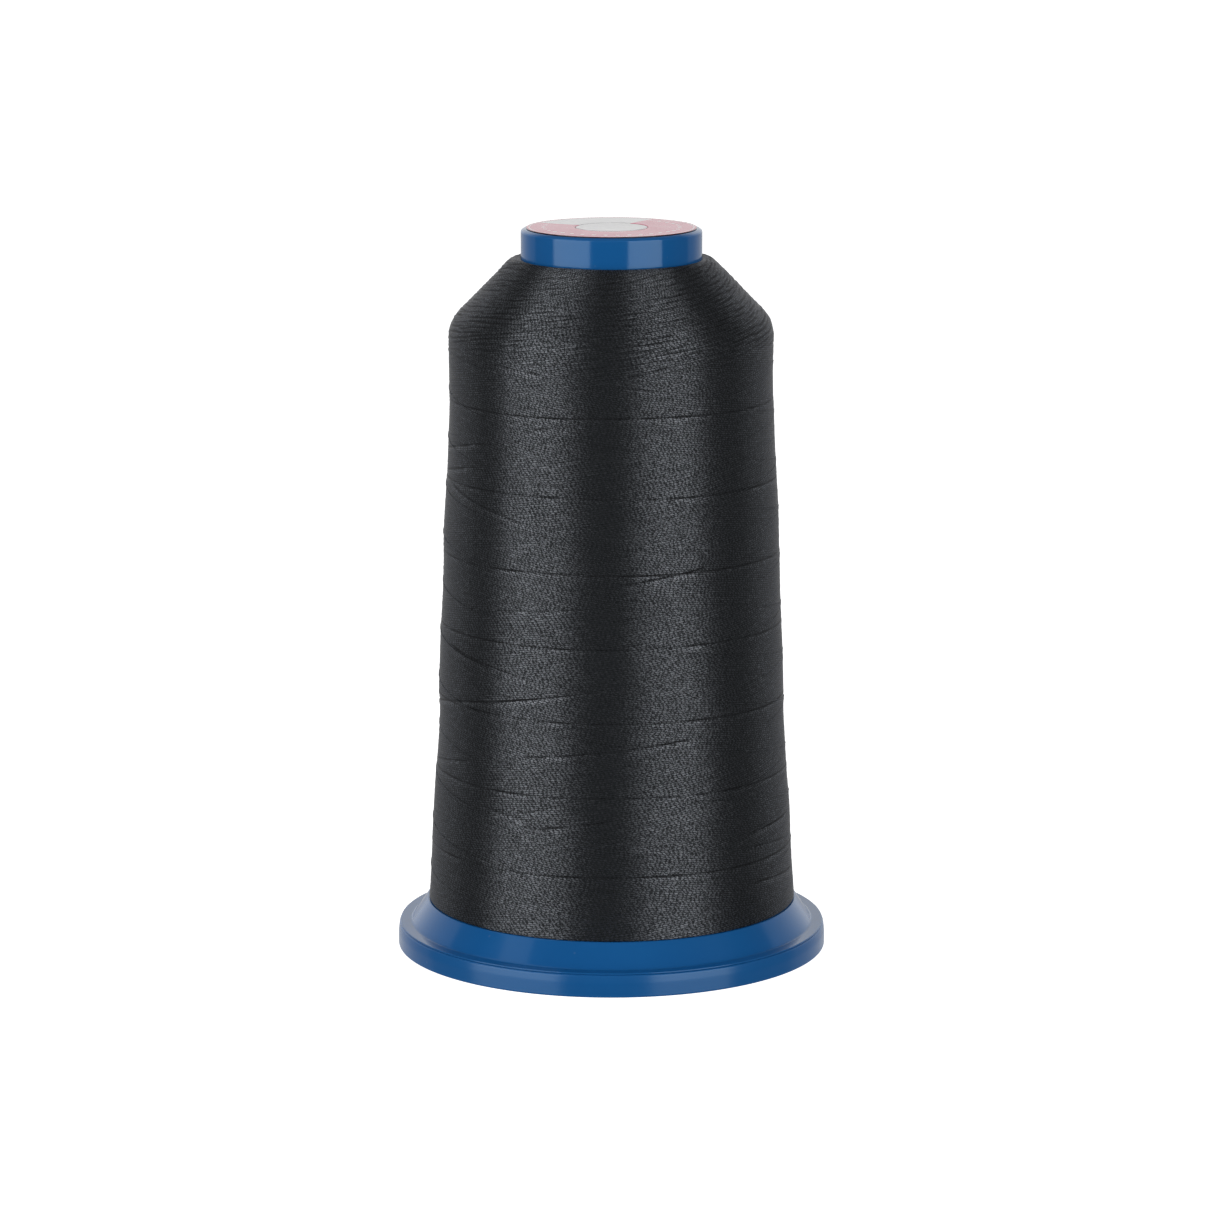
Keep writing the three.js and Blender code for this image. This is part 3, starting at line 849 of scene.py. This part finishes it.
blackThread = dict(
    strandWidth=0.36 * mm,
    wander=2.2,            # strands that the lay strays by
    wanderScale=2.2,
    wanderRise=90.0,       # up the spool it strays this much faster than round it
    downShift=0.37,        # strands from the lay going up to the one going down
    plyStep=0.74,          # mm along a strand from one ply's glint to the next
    plyRadius=29,          # at this radius
    plyLean=0.25,          # how far the plies lean across a strand, in glints
    plyOffset=0.8,         # each strand starts anywhere in this share of a glint
    plyUneven=2.5,         # plies never twist quite evenly: by this many glints
    unevenScale=60.0,
    litSpan=(0.12, 0.88),
    flashSpan=(0.6, 1.0),      # brightness of the dullest and the brightest glint
    roundness=0.7,         # of a strand's section
    plyLift=0.35,          # how far a ply stands out of its strand's own 0.8
    strandLift=0.3,        # and a strand over the others
    coneRadius=27.68 * mm,     # from here in, on the cone, rows are counted along the slope,
    coneRows=0.40,         # which is this much longer for each metre inwards
    dark=(0.0152, 0.0174, 0.0192, 1),
    light=(0.0225, 0.0250, 0.0276, 1),
    ownTone=(0.5, 1.0),    # of the dullest and the brightest strand
    cloudScale=75.0,
    cloudTone=(-0.15, 0.15),
    gap=0.35,              # painted shade between strands: how dark it gets there
    gapSpan=(0.0, 0.6),
    creaseSpan=0.7,        # depth at which a crease's painted shade is darkest
    creaseShade=0.12,      # and how dark
    proudShine=1.25,       # painted highlight: how much the glints brighten where turns lie proud
    glint=(0.318, 0.336, 0.366, 1),        # the filaments' glints: their metallic gloss, and painted sheen in the diffuse colour where a glint is faint
    metalShine=(0.0, 0.3),         # from no glint to a full one
    roughness=(0.51, 0.57),
    creaseRoughness=0.3,
    stretch=0.97,          # filaments spread the gloss across the strands
    stretchTurn=0.25,      # of a turn from the piece's own direction
    edgeTint=(0.40, 0.40, 0.42, 1),        # and shine less where they are seen from low down
    index=1.48,
    depth=0.020 * mm,
)


# thread wound both ways, by where the point lies: the lift of its strands, each strand's own tone, the glints
# of its twisted plies and each strand's round section, from which the material paints shade between strands
def makeThreadLay(spec):
    group, tree, start, end = newGroup(
        "threadLay",
        [("Turn", "Float", None), ("Height", "Float", None), ("Along", "Float", None),
         ("Strand Width", "Float", None), ("Pitch", "Float", None), ("Starts", "Float", None),
         ("Plies", "Float", None), ("Ply Lean", "Float", None), ("Up Front", "Float", None),
         ("Down Front", "Float", None)],
        [("Lift", "Float"), ("Tone", "Float"), ("Glint", "Float"), ("Spark", "Float"), ("Body", "Float")])
    turn, height = start.outputs["Turn"], start.outputs["Height"]
    rows = tree.math("DIVIDE", start.outputs["Along"], start.outputs["Strand Width"])
    lean = tree.math("MULTIPLY", turn, start.outputs["Starts"])
    plies = tree.math("MULTIPLY", turn, start.outputs["Plies"])
    climb = tree.math("DIVIDE", height, start.outputs["Pitch"])
    around = tree.math("MULTIPLY", turn, tau)
    spot = tree.combine(tree.math("COSINE", around), tree.math("SINE", around),
                        tree.math("MULTIPLY", height, spec["wanderRise"]))
    wander = tree.math("SUBTRACT", tree.noise(spot, spec["wanderScale"], 2.0, 0.5), 0.5)
    wander = tree.math("MULTIPLY", wander, spec["wander"])
    uneven = tree.math("MULTIPLY", tree.noise(spot, spec["unevenScale"], 2.0, 0.6), spec["plyUneven"])
    layers, ages = [], []
    for operation, front, shift in (("SUBTRACT", "Up Front", 0.0), ("ADD", "Down Front", spec["downShift"])):
        phase = tree.math("ADD", tree.math(operation, rows, lean), tree.math("ADD", wander, shift))
        across = tree.math("FRACT", phase)
        strand = tree.math("FLOORED_MODULO", tree.math("FLOOR", phase), start.outputs["Starts"])
        pick = tree.add("TexWhiteNoise", noise_dimensions="1D")
        tree.feed(pick.inputs["W"], tree.math("ADD", strand, shift + 0.5))
        body = tree.math("SINE", tree.math("MULTIPLY", across, math.pi))
        roll = tree.math("ADD", tree.math("MULTIPLY", phase, start.outputs["Ply Lean"]),
                         tree.math("MULTIPLY", pick.outputs["Value"], spec["plyOffset"]))
        roll = tree.math("ADD", plies, tree.math("ADD", roll, uneven))
        glint = tree.span(tree.math("COSINE", tree.math("MULTIPLY", roll, tau)), -1.0, 1.0)
        ply = tree.math("FLOOR", tree.math("ADD", roll, 0.5))
        ply = tree.math("FLOORED_MODULO", ply, start.outputs["Plies"])
        flash = tree.add("TexWhiteNoise", noise_dimensions="2D")
        tree.feed(flash.inputs["Vector"], tree.combine(ply, tree.math("ADD", strand, shift + 0.5), 0.0))
        lit = tree.span(tree.math("MULTIPLY", glint, tree.math("SQRT", body)), *spec["litSpan"])
        spark = tree.math("MULTIPLY", lit, tree.span(flash.outputs["Value"], 0.0, 1.0, *spec["flashSpan"]))
        lift = tree.math("MULTIPLY", tree.math("POWER", body, spec["roundness"]),
                         tree.math("ADD", tree.math("MULTIPLY", glint, spec["plyLift"]), 0.8))
        lift = tree.math("ADD", lift, tree.math("MULTIPLY", pick.outputs["Value"], spec["strandLift"]))
        layers.append((lift, pick.outputs["Value"], glint, spark, body))
        phase = tree.math(operation, turn, climb)
        ages.append(tree.math("FRACT", tree.math("SUBTRACT", start.outputs[front], phase)))
    top = tree.span(tree.math("SUBTRACT", ages[1], ages[0]), 0.01, -0.01)
    for label, first, second in zip(("Lift", "Tone", "Glint", "Spark", "Body"), *layers):
        pair = tree.add("Mix", data_type="FLOAT")
        for socket, value in zip((pair.inputs[0], pair.inputs[2], pair.inputs[3]), (top, first, second)):
            tree.feed(socket, value)
        tree.feed(end.inputs[label], pair.outputs[0])
    return group


def frontPhase(spec, key, direction):       # where a front lies, in turns from the axis's +X side
    right, height = spec[key]
    return turnPhase(right + cameraSide, height, spec, direction)


def makeBlackThread(spec, lay):
    material, tree, shader = newMaterial("blackThread")
    place = placeGroup(tree, roundCoords)
    inward = tree.math("MAXIMUM", tree.math("SUBTRACT", spec["coneRadius"], place.outputs["Out"]), 0.0)
    along = tree.math("ADD", place.outputs["Height"], tree.math("MULTIPLY", inward, spec["coneRows"]))
    starts = round(lay["pitch"] * mm / spec["strandWidth"])
    strands = placeGroup(tree, makeThreadLay(spec), **{
        "Turn": place.outputs["Turn"], "Height": place.outputs["Height"], "Along": along,
        "Strand Width": spec["strandWidth"], "Pitch": lay["pitch"] * mm,
        "Starts": starts, "Plies": round(tau * spec["plyRadius"] / spec["plyStep"]),
        "Ply Lean": round(starts * spec["plyLean"]) / starts, "Up Front": frontPhase(lay, "upFront", 1),
        "Down Front": frontPhase(lay, "downFront", -1)})
    glint, body = strands.outputs["Glint"], strands.outputs["Body"]
    cloud = tree.noise(place.outputs["Point"], spec["cloudScale"], 3.0, 0.5)
    # each strand's own tone and a slow cloud, lightened along the ply glints as painted sheen
    toneAndSheen = tree.math("MULTIPLY", tree.span(glint, 0.3, 1.0),
                     tree.span(strands.outputs["Tone"], 0, 1, *spec["ownTone"]))
    toneAndSheen = tree.math("ADD", toneAndSheen, tree.span(cloud, 0.3, 0.7, *spec["cloudTone"]), clamp=True)
    colour = tree.mixColor(toneAndSheen, spec["dark"], spec["light"])
    # painted shade in the grooves and between turns, from the crease attribute
    crease = tree.add("Attribute", attribute_name="crease").outputs["Fac"]
    creased = tree.span(crease, 0.0, spec["creaseSpan"], 1.0, spec["creaseShade"])
    # painted shade: the colour darkens between strands and in creases
    shade = tree.math("MULTIPLY", tree.span(body, *spec["gapSpan"], spec["gap"], 1.0), creased)
    colour = tree.mixColor(shade, (0, 0, 0, 1), colour)
    # the glints too: darkened in creases as painted shade, brightened on proud ledges as painted highlight
    creased = tree.span(crease, -0.3, spec["creaseSpan"], spec["proudShine"], spec["creaseShade"])
    shine = tree.math("MULTIPLY", strands.outputs["Spark"], creased)
    # where a glint is faint and not yet fully metallic, its colour lightens the diffuse colour as painted
    # sheen
    tree.feed(shader.inputs["Base Color"], tree.mixColor(shine, colour, spec["glint"]))
    tree.feed(shader.inputs["Metallic"], tree.span(shine, *spec["metalShine"]))
    low, high = spec["roughness"]
    rougher = tree.math("MULTIPLY", crease, spec["creaseRoughness"])
    rough = tree.math("ADD", tree.span(glint, 0.15, 0.85, high, low), rougher, clamp=True)
    tree.feed(shader.inputs["Roughness"], rough)
    setBump(tree, shader, strands.outputs["Lift"], 1.0, spec["depth"])
    shader.inputs["IOR"].default_value = spec["index"]
    shader.inputs["Specular Tint"].default_value = spec["edgeTint"]
    shader.inputs["Anisotropic"].default_value = spec["stretch"]
    shader.inputs["Anisotropic Rotation"].default_value = spec["stretchTurn"]
    return material


threadMaterial = makeBlackThread(blackThread, winding)
makeThreadPackage(winding, threadMaterial)


outerTurns = dict(
    diameter=0.25,
    steps=96,              # in one turn
    sides=8,
    passTurns=92 / 24,     # from one end of the package to the other
    roundTrips=3,
    low=10.35,
    high=106.3,
    reversal=4 / 24,       # of a turn
    proud=0.06,            # how far the thread stands out of the package
    layer=0.05,            # turns going down lie this much further out
    endDepth=0.6,          # how deep the ends are tucked in
    endTurn=0.12,          # over this share of a turn
)


def outerRoute(spec, packageSpec):
    passTurns, reversal = spec["passTurns"], spec["reversal"]
    count = int(2 * spec["roundTrips"] * passTurns * spec["steps"])
    turn = np.arange(count + 1) / spec["steps"]
    cycle = turn % (2 * passTurns)
    down = cycle > passTurns
    along = np.where(down, 2 * passTurns - cycle, cycle)
    toTurn = np.minimum(along, passTurns - along)
    eased = np.where(toTurn < reversal, (toTurn ** 2 + reversal ** 2) / (2 * reversal), toTurn)
    share = np.where(along < passTurns / 2, eased, passTurns - eased) / passTurns
    blend = smoothStep(0, reversal, toTurn) / 2
    layer = np.where(down, 0.5 + blend, 0.5 - blend)
    height = spec["low"] + share * (spec["high"] - spec["low"])
    angle = turn * tau
    tuck = smoothStep(spec["endTurn"], 0, np.minimum(turn, turn[-1] - turn)) * spec["endDepth"]
    radius = woundRadius(angle, height, packageSpec) - spec["diameter"] / 2
    radius = radius + spec["proud"] + layer * spec["layer"] - tuck
    return np.stack([radius * np.cos(angle), radius * np.sin(angle), height], -1) * mm


def threadTube(name, route, diameter, sides):
    ahead = np.gradient(route, axis=0)
    ahead /= np.linalg.norm(ahead, axis=1)[:, None]
    up = np.array((0, 0, 1.0))
    across = up - ahead * (ahead @ up)[:, None]
    across /= np.linalg.norm(across, axis=1)[:, None]
    out = np.cross(ahead, across)
    around = (np.arange(sides) * tau / sides)[None, :, None]
    ring = np.cos(around) * out[:, None, :] + np.sin(around) * across[:, None, :]
    corners = route[:, None, :] + ring * diameter / 2 * mm
    i = np.arange(len(route) - 1)[:, None] * sides
    k = np.arange(sides)[None, :]
    faces = np.stack([i + k, i + sides + k, i + sides + (k + 1) % sides, i + (k + 1) % sides], -1)
    faces = faces.reshape(-1, 4).tolist()
    faces.append(list(range(sides)))
    faces.append(list(range((len(route) - 1) * sides, len(route) * sides))[::-1])
    return skinMesh(name, corners, faces)


def makeOuterTurns(spec, packageSpec, material):
    route = outerRoute(spec, packageSpec)
    mesh = threadTube("outerTurns", route, spec["diameter"], spec["sides"])
    addPiece("outerTurns", mesh, "spool", material, "thread_outer_turns")


makeOuterTurns(outerTurns, winding, threadMaterial)
print("thread wound")


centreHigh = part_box("label_centre")[1]
paperLabel = dict(
    columns=192,
    radius=labelHigh.x / mm,
    centreRadius=centreHigh.x / mm,
    dieCut=0.09,           # between the label and its centre
    thickness=(labelHigh.z - labelLow.z) / mm,
    high=labelHigh.z / mm,
    red=(0.80, 0.047, 0.165, 1),
    white=(0.90, 0.895, 0.90, 1),
    centre=(0.84, 0.835, 0.85, 1),
    # painted shade: a dark rim along the label's edge, for the shadow under it
    paintedEdgeShade=(0.02, 0.022, 0.035, 1),
    panelMiddle=106.0,     # degrees round the axis: the bare white panel at the back
    panelHalf=47.0,
    panelInner=6.0,
    panelOuter=13.7,
    panelSoft=0.4,         # degrees over which its sides fade
    ringRadius=14.0,
    ringHalf=0.10,
    ringSoft=0.04,
    dotRadius=11.6,
    dotCount=36,
    dotSize=0.36,
    dotStart=7.0,          # degrees from the panel to the first dots
    inkSoft=0.05,          # how softly the ink ends
    marks=0.35,
    patchSize=140.0,
    fibreScale=1500.0,
    fibreInk=0.07,         # how much white the fibres let through the red
    fibreStrength=0.4,
    fibreDepth=0.01 * mm,
    roughness=(0.09, 0.25),
    rings=26,
    edgeRound=0.05,
    sag=0.014,             # the paper isn't quite flat
    centreSag=0.02,
    centreWave=0.008,
    centreDip=0.05,        # where it spans the spindle hole
    holeRadius=spoolBody["spindleRadius"],
    centreHole=0.12,       # of the centre's mesh, drawn together at the axis
)


def makeLabelMaterial(spec, name, centre):
    material, tree, shader = newMaterial(name)
    place = placeGroup(tree, roundCoords)
    point, turn = place.outputs["Point"], place.outputs["Turn"]
    marks = placeGroup(tree, handlingMarks, **{"Point": point, "Patch Size": spec["patchSize"],
                                               "Amount": spec["marks"]})
    fibres = tree.noise(point, spec["fibreScale"], 3.0, 0.6)
    if centre:
        colour = tree.mixColor(tree.span(fibres, 0.3, 0.7), spec["centre"], spec["white"])
    else:
        out = tree.math("DIVIDE", place.outputs["Out"], mm)

        def apart(value, middle):
            return tree.math("ABSOLUTE", tree.math("SUBTRACT", value, middle))

        def within(distance, half, soft):       # 1 where the distance is less than half, and else 0
            return tree.span(distance, half + soft, half - soft)

        panelOut = (spec["panelInner"] + spec["panelOuter"]) / 2
        panelHalfOut = (spec["panelOuter"] - spec["panelInner"]) / 2
        beside = apart(tree.math("MULTIPLY", turn, 360.0), spec["panelMiddle"])
        inPanel = tree.math("MULTIPLY", within(beside, spec["panelHalf"], spec["panelSoft"]),
                            within(apart(out, panelOut), panelHalfOut, spec["inkSoft"]))
        onRing = within(apart(out, spec["ringRadius"]), spec["ringHalf"], spec["ringSoft"])
        # dots at equal steps round the red field
        step = tree.math("FRACT", tree.math("MULTIPLY", turn, float(spec["dotCount"])))
        across = tree.math("SUBTRACT", step, 0.5)
        across = tree.math("MULTIPLY", across, tau * spec["dotRadius"] / spec["dotCount"])
        along = tree.math("SUBTRACT", out, spec["dotRadius"])
        reach = tree.math("ADD", tree.math("POWER", across, 2.0), tree.math("POWER", along, 2.0))
        firstDot = spec["panelHalf"] + spec["dotStart"]
        onDot = tree.math("MULTIPLY", within(tree.math("SQRT", reach), spec["dotSize"], spec["inkSoft"]),
                          tree.span(beside, firstDot, firstDot + 1.0))
        bare = tree.math("MAXIMUM", tree.math("MAXIMUM", inPanel, onRing), onDot)
        ink = tree.mixColor(tree.span(fibres, 0.25, 0.75, 0.0, spec["fibreInk"]), spec["red"], spec["white"])
        colour = tree.mixColor(bare, ink, spec["white"])
        # painted shade along the label's outer edge
        onEdge = tree.span(out, spec["radius"] - 0.07, spec["radius"] - 0.04)
        colour = tree.mixColor(onEdge, colour, spec["paintedEdgeShade"])
    tree.feed(shader.inputs["Base Color"], colour)
    uneven = tree.math("ADD", marks.outputs["Rubbed"], tree.math("MULTIPLY", fibres, 0.3))
    tree.feed(shader.inputs["Roughness"], tree.span(uneven, 0.0, 0.6, *spec["roughness"]))
    setBump(tree, shader, fibres, spec["fibreStrength"], spec["fibreDepth"])
    return material


def paperRing(name, spec, inner, outer, dip):
    high, edge = spec["high"], spec["edgeRound"]
    low = high - spec["thickness"]
    span = np.linspace(inner + edge, outer - edge, spec["rings"])
    outline = [(r, low) for r in span] + [(outer, low + edge), (outer, high - edge)]
    outline += [(r, high) for r in span[::-1]] + [(inner, high - edge), (inner, low + edge)]
    outline = np.array(outline)
    angles = np.arange(spec["columns"]) * tau / spec["columns"]
    radius = np.repeat(outline[:, 0:1], len(angles), 1)
    height = np.repeat(outline[:, 1:2], len(angles), 1)
    sag = dip(radius, angles[None, :], spec)
    height = np.where(height > (low + high) / 2, height - sag, height)
    return ringMesh(name, radius * mm, height * mm, angles)


def labelSag(radius, angle, spec):
    wave = np.sin(2 * angle + 0.6) * np.sin(radius * 0.9) + np.sin(5 * angle + radius * 0.7)
    return spec["sag"] * (1 + wave / 2)


def centreSag(radius, angle, spec):
    dip = np.cos(np.clip(radius / spec["holeRadius"], 0, 1) * math.pi / 2)
    return spec["centreSag"] + spec["centreDip"] * dip + spec["centreWave"] * np.sin(3 * angle + radius)


def closeMiddle(mesh, hole):        # draws a disc's small hole together at the axis
    for vertex in mesh.vertices:
        if math.hypot(vertex.co.x, vertex.co.y) < hole:
            vertex.co.x = vertex.co.y = 0.0
    work = bmesh.new()
    work.from_mesh(mesh)
    bmesh.ops.remove_doubles(work, verts=work.verts, dist=1e-7)
    work.to_mesh(mesh)
    work.free()


def makeLabel(spec):
    printed = makeLabelMaterial(spec, "labelPaper", False)
    plain = makeLabelMaterial(spec, "labelCentrePaper", True)
    mesh = paperRing("topLabel", spec, spec["centreRadius"] + spec["dieCut"], spec["radius"], labelSag)
    addPiece("topLabel", mesh, "spool", printed, "top_label")
    mesh = paperRing("labelCentre", spec, spec["centreHole"], spec["centreRadius"], centreSag)
    closeMiddle(mesh, 1.1 * spec["centreHole"] * mm)
    addPiece("labelCentre", mesh, "spool", plain, "label_centre")


makeLabel(paperLabel)
print("label done")
